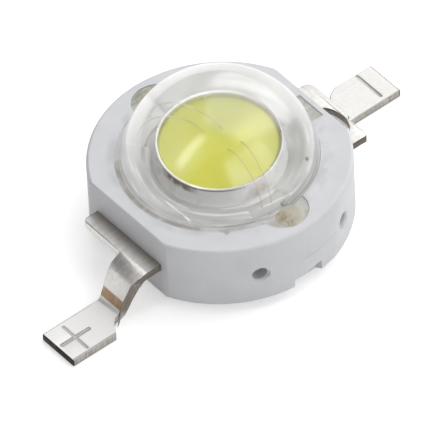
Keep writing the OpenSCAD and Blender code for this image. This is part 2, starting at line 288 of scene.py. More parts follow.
def moved(bm, matrix):
    """The same skin, moved by a matrix."""
    bmesh.ops.transform(bm, matrix=matrix, verts=bm.verts)
    return bm


def box_block(x0, x1, y0, y1, z0, z1):
    """Straight block between two limits on each axis."""
    return prism([(x0, y0), (x1, y0), (x1, y1), (x0, y1)], z0, z1)


def post(x, y, radius, low, high, steps=64):
    """Upright round post."""
    return prism(arc((x, y), radius, 0, 360 - 360 / steps, steps - 1), low, high)


def linked(name, data):
    """New object that stands in the scene."""
    obj = bpy.data.objects.new(name, data)
    bpy.context.scene.collection.objects.link(obj)
    return obj


def solid(name, bm, material):
    """Object in millimetres with outward normals."""
    bmesh.ops.recalc_face_normals(bm, faces=bm.faces)
    mesh = bpy.data.meshes.new(name)
    bm.to_mesh(mesh)
    bm.free()
    mesh.materials.append(material)
    return linked(name, mesh)


def worked_out(obj):
    """Mesh that an object has after its modifiers or its curve are worked out."""
    bpy.context.view_layer.update()
    return bpy.data.meshes.new_from_object(obj.evaluated_get(bpy.context.evaluated_depsgraph_get()))


def settle(obj):
    """Turns the modifiers of an object into its mesh."""
    mesh = worked_out(obj)
    obj.modifiers.clear()
    old = obj.data
    obj.data = mesh
    bpy.data.meshes.remove(old)


def combine(obj, others, how="DIFFERENCE"):
    """Cuts, joins or intersects an object with others, which are then gone."""
    for other in others:
        step = obj.modifiers.new("combine", "BOOLEAN")
        step.operation = how
        step.solver = "EXACT"
        step.object = other
        step.material_mode = "TRANSFER"
        settle(obj)
    for other in others:
        mesh = other.data
        bpy.data.objects.remove(other)
        bpy.data.meshes.remove(mesh)


def ease_edges(obj, width, angle, clamp=False):
    """Rounds the edges of an object that turn by more than an angle."""
    step = obj.modifiers.new("edges", "BEVEL")
    step.width = width
    step.segments = 2
    step.limit_method = "ANGLE"
    step.angle_limit = math.radians(angle)
    step.use_clamp_overlap = clamp
    step.miter_outer = "MITER_SHARP" if clamp else "MITER_ARC"
    settle(obj)


def place(obj, slot, *nodes, smooth=35, even=False):
    """Brings a piece from millimetres to the frame, where it stands for its nodes."""
    mesh = obj.data
    mesh.transform(Matrix.Scale(MM, 4))
    for polygon in mesh.polygons:
        polygon.use_smooth = True
    mesh.set_sharp_from_angle(angle=math.radians(smooth))
    if even:
        step = obj.modifiers.new("normals", "WEIGHTED_NORMAL")
        step.mode = "FACE_AREA"
        step.weight = 100
        step.keep_sharp = True
        settle(obj)
    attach(obj, BODY)
    if nodes:
        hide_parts(*nodes)


class Nodes:
    """Adds nodes to a tree; what they take is a number, a tuple or a node's output."""

    def __init__(self, tree):
        self.tree = tree

    def node(self, kind, operation=None, **inputs):
        """New node with some inputs fed."""
        node = self.tree.nodes.new(kind)
        if operation:
            node.operation = operation
        self.feed_all(node, inputs)
        return node

    def link(self, source, target):
        self.tree.links.new(source, target)

    def feed(self, socket, value):
        """Sets an input to a number or tuple, or links an output to it."""
        if isinstance(value, (int, float)):
            socket.default_value = value
        elif isinstance(value, tuple):
            socket.default_value = (*value, 1) if len(socket.default_value) == 4 else value
        else:
            self.link(value, socket)

    def feed_all(self, node, inputs):
        """Feeds inputs by name, where an underscore stands for a space."""
        for name, value in inputs.items():
            self.feed(node.inputs[name.replace("_", " ")], value)

    def worked(self, kind, operation, first, second):
        """Outputs of a maths node that works on two inputs."""
        node = self.node(kind, operation)
        self.feed(node.inputs[0], first)
        self.feed(node.inputs[1], second)
        return node.outputs

    def maths(self, operation, first, second=0.0):
        return self.worked("ShaderNodeMath", operation, first, second)[0]

    def vector(self, operation, first, second=(0, 0, 0)):
        return self.worked("ShaderNodeVectorMath", operation, first, second)

    def both(self, first, *others):
        """Product, which for masks is 1 where they are all 1."""
        for other in others:
            first = self.maths("MULTIPLY", first, other)
        return first

    def either(self, first, *others):
        """Greatest value, which for masks is 1 where any of them is."""
        for other in others:
            first = self.maths("MAXIMUM", first, other)
        return first

    def size(self, value):
        return self.maths("ABSOLUTE", value)

    def ramp(self, value, low, high, out_low=0.0, out_high=1.0):
        """Smooth step of a value between two limits."""
        node = self.node("ShaderNodeMapRange", Value=value, From_Min=low, From_Max=high,
                         To_Min=out_low, To_Max=out_high)
        node.interpolation_type = "SMOOTHSTEP"
        return node.outputs["Result"]

    def band(self, value, middle, half, soft):
        """Mask that is 1 where a value lies within half of a middle value."""
        return self.ramp(self.size(self.maths("SUBTRACT", value, middle)), half, half + soft, 1, 0)

    def mix(self, amount, first, second):
        node = self.node("ShaderNodeMix")
        node.data_type = "RGBA"
        self.feed(node.inputs[0], amount)
        self.feed(node.inputs[6], first)
        self.feed(node.inputs[7], second)
        return node.outputs[2]


class Finish(Nodes):
    """One node material, painted coat by coat, whose pattern coordinates are millimetres on the part."""

    def __init__(self, name):
        self.material = bpy.data.materials.new(name)
        self.material.use_nodes = True
        super().__init__(self.material.node_tree)
        self.shader = self.tree.nodes["Principled BSDF"]
        self.base = None
        coords = self.node("ShaderNodeTexCoord").outputs["Object"]
        self.mm = self.node("ShaderNodeMapping", Vector=coords, Scale=(1 / MM,) * 3).outputs["Vector"]
        self.x, self.y, self.z = self.node("ShaderNodeSeparateXYZ", Vector=self.mm).outputs
        squares = self.maths("ADD", self.both(self.x, self.x), self.both(self.y, self.y))
        self.radius = self.maths("SQRT", squares)

    def noise(self, where, scale, detail, rough=0.5, warp=0.0):
        return self.node("ShaderNodeTexNoise", Vector=where, Scale=scale, Detail=detail, Roughness=rough,
                         Distortion=warp).outputs["Fac"]

    def cloud(self, scale, detail=3, rough=0.5, stretch=None, warp=0.0):
        """Soft random pattern, scale in cycles per millimetre."""
        where = self.mm
        if stretch:
            where = self.node("ShaderNodeMapping", Vector=where, Scale=stretch).outputs["Vector"]
        return self.noise(where, scale, detail, rough, warp)

    def rings(self, scale, detail):
        """Soft random pattern drawn out into arcs round the middle."""
        join = self.node("ShaderNodeCombineXYZ", X=self.both(self.radius, scale),
                         Y=self.maths("ARCTAN2", self.y, self.x))
        return self.noise(join.outputs[0], 1.0, detail)

    def wedge(self, turn, half, soft):
        """Mask that is 1 within an angle of a direction round the middle."""
        c, s = math.cos(math.radians(turn)), math.sin(math.radians(turn))
        along = self.maths("ADD", self.both(self.x, c), self.both(self.y, s))
        across = self.maths("SUBTRACT", self.both(self.y, c), self.both(self.x, s))
        angle = self.size(self.maths("ARCTAN2", across, along))
        return self.ramp(angle, math.radians(half - soft), math.radians(half + soft), 1, 0)

    def spot(self, centre, radii, soft, ragged=0.0, grain=3.0):
        """Mask that is 1 in an oval spot round a point and falls off to 0."""
        away = self.vector("DIVIDE", self.vector("SUBTRACT", self.mm, centre)[0], radii)[0]
        distance = self.vector("LENGTH", away)["Value"]
        if ragged:
            distance = self.maths("ADD", distance, self.both(self.cloud(grain), ragged))
            distance = self.maths("SUBTRACT", distance, ragged * 0.5)
        return self.ramp(distance, 1 - soft, 1 + soft, 1, 0)

    def well_shade_and_light(self):
        """Painted shade of the floor of the well, with painted light on the far side of the cup."""
        return self.mix(self.wedge(-120, 55, 40), SHADED_WELL_RESIN, LIT_FAR_RESIN)

    def highlight_streaks(self):
        """Two thin painted highlight streaks on the floor of the well, to the near and to the right of the cup."""
        sway = self.both(self.maths("SUBTRACT", self.cloud(1.4, 2), 0.5), 0.24)
        near = self.maths("ADD", self.maths("SUBTRACT", self.x, self.both(self.y, 0.145)), sway)
        near = self.both(self.band(near, 1.74, 0.015, 0.03), self.band(self.y, 0.58, 0.4, 0.2))
        right = self.maths("ADD", self.maths("ADD", self.y, self.both(self.x, 0.15)), sway)
        right = self.both(self.band(right, 1.77, 0.015, 0.03), self.band(self.x, -0.24, 0.38, 0.15))
        return self.both(self.either(near, right), self.ramp(self.cloud(2.2, 2), 0.35, 0.6, 0.35, 1))

    def paint(self, mask, colour, amount=1.0):
        """Lays a colour over the base by an amount where a mask is 1."""
        if amount != 1:
            mask = self.both(mask, amount)
        self.base = self.mix(mask, self.base, colour)

    def bump(self, height, distance, strength):
        node = self.node("ShaderNodeBump", Strength=strength, Distance=distance * MM, Height=height)
        self.link(node.outputs["Normal"], self.shader.inputs["Normal"])

    def made(self, **inputs):
        """Material whose shader takes the base colour and other inputs."""
        self.feed_all(self.shader, {"Base_Color": self.base, **inputs})
        return self.material

    def show(self, kind, *sources):
        """Joins shaders in one node and shows the result on the surface."""
        node = self.node(kind)
        for socket, source in zip(node.inputs, sources):
            self.link(source, socket)
        self.link(node.outputs[0], self.tree.nodes["Material Output"].inputs["Surface"])
        return self.material


def darker(colour, share):
    return tuple(c * share for c in colour)


def ear_finish():
    """Milky, streaky top of the ears, the gate tab and the key points."""
    f = Finish("lens_ear")
    streaks = f.cloud(2.6, 4, 0.6, stretch=(1, 2.4, 1), warp=0.6)
    f.base = f.mix(f.ramp(streaks, 0.36, 0.62), (0.71, 0.705, 0.68), (0.60, 0.585, 0.51))
    far = f.both(f.ramp(f.y, -2.2, -2.6), f.ramp(streaks, 0.40, 0.56, 0.25, 1))
    f.paint(far, (0.42, 0.42, 0.34), 0.75)
    key = f.both(f.wedge(KEY_TURN, 10, 2), f.ramp(f.radius, 2.95, 3.05))
    f.paint(key, (0.44, 0.43, 0.39), 0.7)
    gate = f.both(f.ramp(f.x, -2.9, -3.0), f.ramp(streaks, 0.42, 0.56, 0.1, 1))
    f.paint(gate, (0.52, 0.53, 0.46), 0.25)
    f.bump(streaks, 0.02, 0.6)
    return f.made(Roughness=0.3, IOR=1.45, Transmission_Weight=0.25)


def plug_finish():
    """Cloudy top of the gel in the filling holes, with a brown stain to one side."""
    f = Finish("gel_plug")
    cloudy = f.cloud(2.4, 3)
    f.base = f.mix(f.ramp(cloudy, 0.35, 0.7), (0.63, 0.61, 0.50), (0.55, 0.525, 0.415))
    middle = f.spot((0.0, FILL_HOLE_Y, 2.65), (0.36, 0.36, 1.0), 0.22, 0.5, 5)
    f.paint(f.both(f.maths("SUBTRACT", 1.0, middle), f.ramp(f.y, 0, 1)), (0.68, 0.67, 0.62), 0.5)
    veins = f.ramp(f.cloud(9, 4, 0.7, stretch=(1, 0.5, 1), warp=0.8), 0.42, 0.60, 0.1, 1)
    stain = f.spot((0.24, 3.30, 2.65), (0.22, 0.36, 0.2), 0.5, 1.2, 6)
    f.paint(f.both(stain, veins), (0.38, 0.28, 0.15), 0.85)
    grey = f.both(f.ramp(f.y, -2, -1, 1, 0), f.ramp(f.cloud(3.4, 3, stretch=(1, 2.6, 1)), 0.42, 0.6))
    f.paint(grey, (0.36, 0.35, 0.28), 0.55)
    f.bump(cloudy, 0.02, 0.7)
    return f.made(Roughness=0.35, IOR=1.41, Transmission_Weight=0.2)


def resin_finish(colour):
    """White resin: plain outside and dirty along the seam of the lens, with painted shade in its holes, along a
    ledge and in a ring round the lens; under the dome, painted shade, painted light, painted glints, painted
    highlight streaks and marks.
    """
    f = Finish("white_resin")
    grain = f.cloud(14, 3, 0.6)
    f.base = f.mix(f.ramp(f.cloud(0.9, 4), 0.35, 0.7), colour, darker(colour, 0.94))
    # Under the dome the resin takes painted shade, with painted light on the far side of the cup
    under_dome = f.both(f.ramp(f.z, 2.36, 2.4, 1, 0), f.ramp(f.radius, 2.9, 3.06, 1, 0))
    worn = f.both(f.ramp(f.cloud(1.6, 4), 0.4, 0.7), 0.25)
    f.paint(under_dome, f.mix(worn, f.well_shade_and_light(), (0.26, 0.26, 0.255)))
    # Painted shade along the step of the shallow flat
    ledge = f.both(f.band(f.z, LEDGE_Z, 0.012, 0.02), f.wedge(99, 10, 3), f.ramp(f.radius, 3.8, 3.9))
    f.paint(ledge, (0.38, 0.38, 0.40), 0.6)
    # Painted shade inside the blind holes
    in_holes = f.both(f.ramp(f.radius, 3.9, 3.84), f.band(f.z, PIN_Z, 0.28, 0.04),
                      f.ramp(f.size(f.y), 2.4, 2.6))
    f.paint(in_holes, (0.30, 0.30, 0.31), 0.35)
    on_top = f.ramp(f.z, 2.5, 2.62)
    dirt = f.both(f.ramp(f.cloud(1.3, 3), 0.40, 0.58, 0.25, 1), f.ramp(f.wedge(142, 62, 12), 0, 1, 1, 0.2))
    f.paint(f.both(f.band(f.radius, 3.08, 0.05, 0.07), on_top, dirt), (0.30, 0.28, 0.235), 0.85)
    # Painted shade in two arcs of the floor under the dome, by the barrel and further out
    shade = f.both(f.band(f.radius, 1.76, 0.03, 0.07), f.wedge(158, 24, 10))
    edge = f.both(f.band(f.radius, 2.45, 0.02, 0.06), f.ramp(f.cloud(1.1, 3), 0.42, 0.58))
    f.paint(f.both(f.either(shade, edge), under_dome), (0.24, 0.24, 0.23), 0.6)
    # Painted glints and painted shade in soft arcs round the cup
    arcs = f.rings(7, 4)
    f.paint(f.both(f.ramp(arcs, 0.53, 0.64), under_dome), WELL_GLINT, 0.6)
    f.paint(f.both(f.ramp(arcs, 0.47, 0.37), under_dome), (0.30, 0.30, 0.29), 0.5)
    # Painted highlight streaks on the floor of the well
    f.paint(f.both(f.highlight_streaks(), under_dome), WELL_GLINT)
    speck = f.spot((-1.53, 1.14, WELL_Z), (0.045, 0.075, 0.14), 0.3)
    f.paint(speck, (0.02, 0.02, 0.02))
    # Painted shade in a soft ring round the lens on the top face
    lens_ring_shade = f.both(f.band(f.radius, 3.2, 0.06, 0.22), f.ramp(f.cloud(1.6, 3), 0.42, 0.62, 0, 0.5))
    f.paint(f.both(lens_ring_shade, on_top), (0.52, 0.52, 0.52))
    stain = f.spot((0.0, 1.72, WELL_Z), (0.34, 0.16, 0.2), 0.5, 0.6, 4)
    f.paint(stain, (0.42, 0.28, 0.22), 0.5)
    f.bump(grain, 0.0025, 0.6)
    return f.made(Roughness=f.ramp(grain, 0.3, 0.7, 0.42, 0.58), IOR=1.5)


def plating_finish(colour):
    """Rolled plating with a copper band on the near slope; painted brown shade by the wall, painted shade on the
    far lead, on the foot's edges and in the signs; painted light on the near foot; pads painted like the floor of
    the well.
    """
    f = Finish("lead_plating")
    rolled = f.cloud(2.2, 3, 0.55, stretch=(0.8, 4, 4))
    fine = f.cloud(22, 3, 0.7)
    reach, side = f.size(f.x), f.size(f.y)
    upper = f.ramp(f.z, 0.8, 1.3)
    f.base = f.mix(f.both(f.ramp(rolled, 0.35, 0.65), f.ramp(upper, 0, 1, 0.12, 0.55)), colour,
                   (colour[0] * 0.80, colour[1] * 0.775, colour[2] * 0.74))
    f.paint(f.ramp(fine, 0.56, 0.72), darker(colour, 0.62), 0.5)
    # Painted shade on the far lead
    f.paint(f.ramp(f.x, -3.5, -3.8, 0, 0.16), (0.3, 0.3, 0.3))
    # Painted light on the near foot, which the body shadows
    foot = f.both(f.ramp(f.x, 4.9, 5.3), f.ramp(f.z, 0.45, 0.3))
    f.paint(foot, (0.97, 0.965, 0.955), 0.75)
    # Painted shade and painted reflection of the shaded wall, in brown, where the crossbar meets the housing
    near_wall = f.both(f.ramp(reach, 3.62, 4.1, 1, 0), f.ramp(f.z, 1.5, 1.62))
    f.paint(near_wall, (0.26, 0.225, 0.19), 0.7)
    # Painted shade along the rolled edges and the tip of the foot
    rim = f.either(f.band(side, 0.345, 0.01, 0.03), f.band(side, 1.755, 0.03, 0.02))
    rim = f.either(f.both(rim, f.ramp(reach, 5.3, 5.6)), f.ramp(reach, 7.2, 7.235))
    f.paint(f.both(rim, f.band(f.z, 0.25, 0.04, 0.02)), (0.27, 0.25, 0.23), 0.6)
    # Painted shade in the floors of the stamped signs
    sign = f.both(f.band(f.z, 0.22, 0.008, 0.006), f.ramp(reach, 5.8, 5.9))
    f.paint(sign, darker(colour, 0.55), 0.8)
    # Pads under the gel painted like the floor of the well: its painted shade, painted light and painted highlight
    # streaks
    bared = f.ramp(f.z, 2.1, 2.2)
    f.paint(bared, f.mix(f.highlight_streaks(), f.well_shade_and_light(), (0.85, 0.85, 0.85)))
    rubbed = f.ramp(f.cloud(5, 4, stretch=(1, 1, 0.4)), 0.30, 0.5, 0.75)
    copper = f.both(f.band(f.z, 0.56, 0.13, 0.05), f.both(f.ramp(f.x, 4.6, 4.7), rubbed))
    f.paint(copper, (0.40, 0.255, 0.12), 0.9)
    dents = f.both(f.cloud(4.5, 2), f.both(upper, f.ramp(reach, 3.9, 4.3, 0, 6)))
    f.bump(f.maths("ADD", f.maths("ADD", fine, f.both(rolled, 0.3)), dents), 0.004, 0.6)
    return f.made(Metallic=f.maths("SUBTRACT", f.ramp(bared, 0, 1, 0.92, 0.1), f.both(foot, 0.7)),
                  Roughness=f.both(f.ramp(fine, 0.3, 0.75, 0.85, 1.15), f.ramp(f.z, 0.3, 0.9, 0.52, 0.46)))


def sheared_finish():
    """Bare sheared edges of the strip: dark ends and streaky brown-grey sides."""
    f = Finish("lead_sheared_edge")
    streaks = f.cloud(5, 4, 0.6, stretch=(3, 3, 0.4))
    mottled = f.ramp(streaks, 0.35, 0.65)
    f.base = f.mix(mottled, (0.54, 0.52, 0.48), (0.38, 0.35, 0.315))
    f.paint(f.band(f.z, 0, 0.03, 0.04), (0.16, 0.14, 0.12), 0.8)
    slope = f.both(f.band(f.z, 0.85, 0.45, 0.2), f.band(f.x, 4.7, 0.6, 0.3))
    f.paint(slope, (0.20, 0.17, 0.14), 0.75)
    bar_ends = f.both(f.ramp(f.size(f.y), 1.35, 1.40), f.band(f.z, 1.55, 0.12, 0.1))
    f.paint(bar_ends, (0.13, 0.11, 0.09), 0.8)
    # Painted shade on the sheared faces of the cathode at its round hole
    hole = f.both(f.ramp(f.z, 1.2, 1.35), f.ramp(f.x, -3, -3.4), f.ramp(f.z, 1.62, 1.52, 1, 0.55))
    f.paint(hole, (0.15, 0.12, 0.095))
    f.paint(f.ramp(f.size(f.x), 7.2, 7.22), f.mix(mottled, (0.055, 0.047, 0.04), (0.025, 0.02, 0.017)))
    f.bump(streaks, 0.01, 0.7)
    return f.made(Metallic=0.6, Roughness=f.ramp(streaks, 0.3, 0.75, 0.40, 0.58), Specular_IOR_Level=0.2)


def slug_finish():
    """Bright plating, yellow in the cup; the barrel painted pale grey as a painted reflection of the white well;
    under the rim, painted shade in a brown crevice and a dark line, and a brown smudge.
    """
    f = Finish("slug_plating")
    fine = f.cloud(2.5, 3)
    f.base = f.mix(f.ramp(fine, 0.35, 0.7), BRIGHT_PLATING, (0.80, 0.80, 0.79))
    # The barrel is painted pale grey, lighter lower down, as a painted reflection of the white well, and keeps
    # little of its metal
    side = f.both(f.ramp(f.radius, 1.405, 1.415), f.ramp(f.z, 1.6, 1.7))
    f.paint(side, f.mix(f.ramp(f.z, 2.3, RIM_Z), BRIGHT_PLATING, (0.80, 0.80, 0.81)))
    wall = f.both(f.ramp(f.radius, 1.352, 1.362, 1, 0), f.ramp(f.z, 2.2, 2.25))
    f.paint(wall, (0.42, 0.42, 0.12), 0.8)
    ragged = f.ramp(f.cloud(7, 4, 0.65), 0.38, 0.55, 0.25, 1)
    # Painted shade, brown and ragged, in a crevice under the near side of the rim
    rim_crevice_shade = f.both(side, f.band(f.z, 2.73, 0.04, 0.1), f.wedge(5, 18, 9), ragged)
    f.paint(rim_crevice_shade, (0.22, 0.17, 0.12))
    # Painted shade in a dark line just under the rim
    line = f.both(side, f.band(f.z, 2.80, 0.012, 0.02), f.wedge(32, 44, 10))
    f.paint(line, (0.10, 0.095, 0.085), 0.85)
    smudge = f.both(side, f.spot((0.0, BARREL_R, 2.52), (0.26, 0.3, 0.17), 0.5, 0.6, 4), ragged)
    f.paint(smudge, (0.46, 0.33, 0.26), 0.5)
    f.bump(fine, 0.002, 0.3)
    return f.made(Metallic=f.maths("SUBTRACT", 1.0, f.either(f.both(side, 0.95), f.both(wall, 0.6))),
                  Roughness=f.ramp(fine, 0.3, 0.7, 0.26, 0.34))


def gold_finish():
    """Gold of the wires, duller outside the cup, and painted pale on its far side as painted light in the glare of
    the dome.
    """
    f = Finish("wire_gold")
    fine = f.cloud(12, 2)
    f.base = f.mix(fine, (0.62, 0.55, 0.24), (0.52, 0.44, 0.18))
    f.paint(f.ramp(f.radius, 1.35, 1.5), (0.58, 0.52, 0.44))
    # Painted light: the far wires fade into the glare of the dome
    far = f.ramp(f.y, -0.8, -1.2)
    f.paint(far, (0.86, 0.86, 0.84))
    return f.made(Metallic=f.ramp(far, 0, 1, 0.6, 0.1), Roughness=f.ramp(fine, 0.3, 0.7, 0.3, 0.4))


def phosphor_finish(colour):
    """Phosphor in soft sectors: deeper yellow towards the near edge, paler to the sides."""
    f = Finish("phosphor")
    grain = f.cloud(7, 4, 0.6)
    f.base = f.mix(f.ramp(f.cloud(1.3, 3), 0.35, 0.68), colour, darker(colour, 0.94))
    pale = f.either(f.both(f.wedge(81, 13, 9), 0.75), f.wedge(-62, 62, 24), f.wedge(160, 44, 20))
    f.paint(f.both(pale, f.ramp(f.radius, 0.12, 1.2)), PALE_PHOSPHOR, 0.85)
    f.paint(f.both(f.wedge(38, 27, 7), f.ramp(f.radius, 0.05, 0.4)), DEEP_PHOSPHOR, 0.6)
    # Painted shade on the far sector of the phosphor
    f.paint(f.both(f.wedge(-138, 26, 16), f.ramp(f.radius, 0.1, 0.8)), (0.43, 0.45, 0.12), 0.8)
    f.paint(f.ramp(grain, 0.55, 0.75, 0, 0.15), PALE_PHOSPHOR)
    f.bump(grain, 0.006, 0.5)
    return f.made(Roughness=f.ramp(grain, 0.3, 0.7, 0.5, 0.65))


def chip_finish():
    """Bluish face of the chip."""
    f = Finish("chip_face")
    f.base = f.mix(f.cloud(5, 2), (0.26, 0.32, 0.46), (0.36, 0.42, 0.55))
    return f.made(Roughness=0.2)


def attach_finish():
    """Grainy grey bond layer under the chip."""
    f = Finish("silver_bond")
    grain = f.cloud(10, 3)
    f.base = f.mix(grain, (0.62, 0.62, 0.60), (0.48, 0.48, 0.47))
    return f.made(Metallic=0.8, Roughness=f.ramp(grain, 0.3, 0.7, 0.35, 0.5))


def clear_finish(name, index, tint, rough=0.0, veil=0.0):
    """Clear plastic or gel; light that comes straight from a lamp passes through it."""
    f = Finish(name)
    f.base = f.mix(f.cloud(3.0, 2), tint, darker(tint, 0.985))
    f.made(Roughness=rough, IOR=index, Transmission_Weight=1.0,
           Coat_Weight=veil, Coat_Roughness=0.22, Coat_IOR=1.6)
    through = f.node("ShaderNodeBsdfTransparent", Color=tuple(0.5 + c * 0.45 for c in tint))
    from_lamp = f.node("ShaderNodeLightPath").outputs["Is Shadow Ray"]
    return f.show("ShaderNodeMixShader", from_lamp, f.shader.outputs[0], through.outputs[0])


def floor_finish():
    """Pale paper that also glows a little where the camera, gloss or glass sees it."""
    f = Finish("floor_paper")
    f.base = f.mix(f.cloud(0.02, 2), (0.88, 0.88, 0.88), (0.86, 0.86, 0.86))
    f.made(Roughness=0.9, Specular_IOR_Level=0.1)
    rays = f.node("ShaderNodeLightPath").outputs
    camera = rays["Is Camera Ray"]
    seen = f.either(camera, rays["Is Glossy Ray"], rays["Is Transmission Ray"])
    strength = f.maths("ADD", f.both(seen, 0.3), f.both(camera, 0.16))
    glow = f.node("ShaderNodeEmission", Color=(1, 1, 1), Strength=strength)
    return f.show("ShaderNodeAddShader", f.shader.outputs[0], glow.outputs[0])


def lens_blocks(gap, low, high):
    """Ears, gate tab and key points of the lens, grown by a gap."""
    blocks = [post(0, side * EAR_Y, EAR_R + gap, low, high, 96) for side in (-1, 1)]
    blocks.append(box_block(-GATE_X - gap, -2.4, GATE_Y - GATE_HALF - gap, GATE_Y + GATE_HALF + gap,
                            low, high))
    point = [(KEY_ROOT, -KEY_HALF - gap), (KEY_TIP + gap, -0.03), (KEY_TIP + gap, 0.03),
             (KEY_ROOT, KEY_HALF + gap)]
    return blocks + [prism(turned(point, turn), low, high) for turn in (KEY_TURN, KEY_TURN + 180)]


def window_outline(turn, gap=0.0, spread=0.0):
    """Opening over the wire ends in the floor of the well, seen from above."""
    half = WINDOW_HALF - gap * 30 + spread
    outer = arc((0, 0), WINDOW_OUT - gap, turn - half, turn + half, 16)
    return outer + arc((0, 0), WINDOW_IN + gap, turn + half, turn - half, 16)


def housing_ring(radius, flat, inset, z):
    """Outline of the housing at one height, moved in by an inset: two round walls and two flats."""
    radius, flat = radius - inset, flat - inset * 0.6
    flat_steps = 6
    corner = math.degrees(math.acos(flat / radius))
    y = radius * math.sin(math.radians(corner))
    ring = []
    for half in (0, 180):
        ring += turned(arc((0, 0), radius, corner, 180 - corner, 72)[:-1], half)
        ring += turned([(-flat, y - 2 * y * i / flat_steps) for i in range(flat_steps)], half)
    return [(x, y, z) for x, y in ring]


def housing_block(radius, flat, edge, low, high):
    """Uncut housing: chamfer below, straight walls and a rounded edge above."""
    chamfer = ((0.31, 0), (0.07, 0.16), (0.02, 0.2), (0, 0.25))
    rings = [housing_ring(radius, flat, inset, low + rise) for inset, rise in chamfer]
    steps = 5
    for i in range(steps, -1, -1):
        t = math.radians(90 * i / steps)
        rings.append(housing_ring(radius, flat, edge * (1 - math.sin(t)), high - edge * (1 - math.cos(t))))
    return loft(rings)


def wall_cuts(radius, low):
    """Blind holes, notches and shallow flats of the round walls."""
    cuts = []
    past = radius + 1
    for turn in (90, 270):
        for side in (-1, 1):
            hole = lathe([(0, radius - PIN_DEPTH), (PIN_R, radius - PIN_DEPTH), (PIN_R, radius - 0.07),
                          (PIN_MOUTH_R, radius + 0.01), (PIN_MOUTH_R, past), (0, past)], 48)
            aim = Matrix.Rotation(math.radians(turn + PIN_TURN + side * PIN_SPREAD), 4, "Z") \
                @ Matrix.Translation((0, 0, PIN_Z)) @ Matrix.Rotation(math.radians(90), 4, "Y")
            cuts.append(moved(hole, aim))
            step = (0, 0.10) if side < 0 else (0.09, -0.08)
            cuts.append(moved(post(*step, 0.21, radius - 0.09, radius + 0.9, 44), aim))
        notch = box_block(radius - 0.4, past, NOTCH_FROM, NOTCH_TO, -0.5, low + NOTCH_HIGH)
        cuts.append(moved(notch, Matrix.Rotation(math.radians(turn), 4, "Z")))
        ledge = box_block(radius - LEDGE_DEPTH, past, -LEDGE_HALF, LEDGE_HALF, -0.5, LEDGE_Z)
        cuts.append(moved(ledge, Matrix.Rotation(math.radians(turn + LEDGE_TURN), 4, "Z")))
    return cuts


def inner_cuts():
    """Pocket of the slug, seat and well of the lens, windows, filling holes and channels."""
    foot_r, foot_z, neck_r, neck_z = (size + 0.005 for size in (SLUG_R, SLUG_Z, NECK_R, NECK_Z))
    barrel_r = BARREL_R + 0.001
    pocket = [(0, -0.5), (foot_r, -0.5), (foot_r, foot_z), (neck_r, foot_z), (neck_r, neck_z),
              (barrel_r, neck_z), (barrel_r, 2.9), (0, 2.9)]
    seat = [(0, SEAT_Z), (3.038, SEAT_Z), (3.031, 2.5), (3.018, 2.645), (3.005, 2.75), (0, 2.75)]
    well = [(0, WELL_Z), (HOLLOW_R - 0.03, WELL_Z), (HOLLOW_R, WELL_Z + 0.03), (HOLLOW_R, 3.1), (0, 3.1)]
    cuts = [lathe(pocket), lathe(seat, 288), *lens_blocks(0.006, SEAT_Z, 3.2), lathe(well)]
    for turn in WINDOWS:
        cuts.append(loft([[(x, y, z) for x, y in window_outline(turn, gap, spread)]
                          for gap, spread, z in ((0, 0, RING_TOP), (-0.05, 3, WELL_Z + 0.01))]))
    for side in (-1, 1):
        cuts.append(post(0, side * FILL_HOLE_Y, FILL_HOLE_R, WELL_Z - 0.004, 3.0))
        cuts.append(box_block(-CHANNEL_HALF, CHANNEL_HALF, *sorted((side * 2.0, side * FILL_HOLE_Y)),
                              WELL_Z + 0.004, SEAT_Z + 0.1))
    return cuts


def lead_slots(gap):
    """Slots for the crossbars, risers and bonding rings, grown by a gap."""
    cuts = []
    for half, (low, high) in ((0, ANODE_BAR), (180, CATHODE_BAR)):
        bar = [(RISER_X - gap, low - gap), (5.0, low - gap), (5.0, high + gap), (RISER_X - gap, high + gap)]
        cuts.append(prism(turned(bar, half), BAR_LOW - gap, LEAD_TOP + gap))
        cuts.append(prism(turned(riser_outline(0.25, gap), half), BAR_LOW - gap, RING_TOP - 0.1))
        cuts.append(prism(turned(ring_outline(gap), half), RING_TOP - 0.25 - gap, RING_TOP + gap))
    return cuts


class LED_OT_housing(bpy.types.Operator):
    """White moulded block with its seat, slots and small holes"""
    bl_idname = "led.housing"
    bl_label = "Housing"

    def execute(self, context):
        s = context.scene.led_housing
        radius, flat, edge = s.diameter / 2 / MM, s.flats / 2 / MM, s.edge / MM
        low, high = low_of("housing"), top_of("housing")
        resin = resin_finish(tuple(s.colour))
        block = solid("housing_body", housing_block(radius, flat, edge, low, high), resin)
        combine(block, [solid("cut", c, resin) for c in wall_cuts(radius, low)])
        ease_edges(block, 0.015, 40, clamp=True)
        combine(block, [solid("cut", c, resin) for c in inner_cuts() + lead_slots(0.006)])
        place(block, "housing_resin", "housing", even=True)
        return {"FINISHED"}


class LED_OT_slug(bpy.types.Operator):
    """Plated heat slug with the reflector cup in its top"""
    bl_idname = "led.slug"
    bl_label = "Heat slug"

    def execute(self, context):
        high = top_of("heat_slug")
        profile = [(0, 0), (SLUG_R - 0.04, 0), (SLUG_R, 0.04), (SLUG_R, SLUG_Z - 0.04),
                   (SLUG_R - 0.04, SLUG_Z), (NECK_R + 0.03, SLUG_Z), (NECK_R, SLUG_Z + 0.03),
                   (NECK_R, NECK_Z), (BARREL_R, NECK_Z), (BARREL_R, high - 0.02), (BARREL_R - 0.02, high),
                   (CUP_R + 0.01, high), (CUP_R - 0.01, high - 0.015), (CUP_FLOOR_R, CUP_Z), (0, CUP_Z)]
        place(solid("slug_body", lathe(profile), slug_finish()), "slug_plating", "heat_slug", smooth=28)
        return {"FINISHED"}


def ring_outline(gap=0.0):
    """Bonding ring seen from above, for the anode."""
    low, high = RING_TURN - RING_HALF, RING_TURN + RING_HALF
    return arc((0, 0), RING_OUT + gap, low, high, 60) + arc((0, 0), RING_IN - gap, high, low, 60)


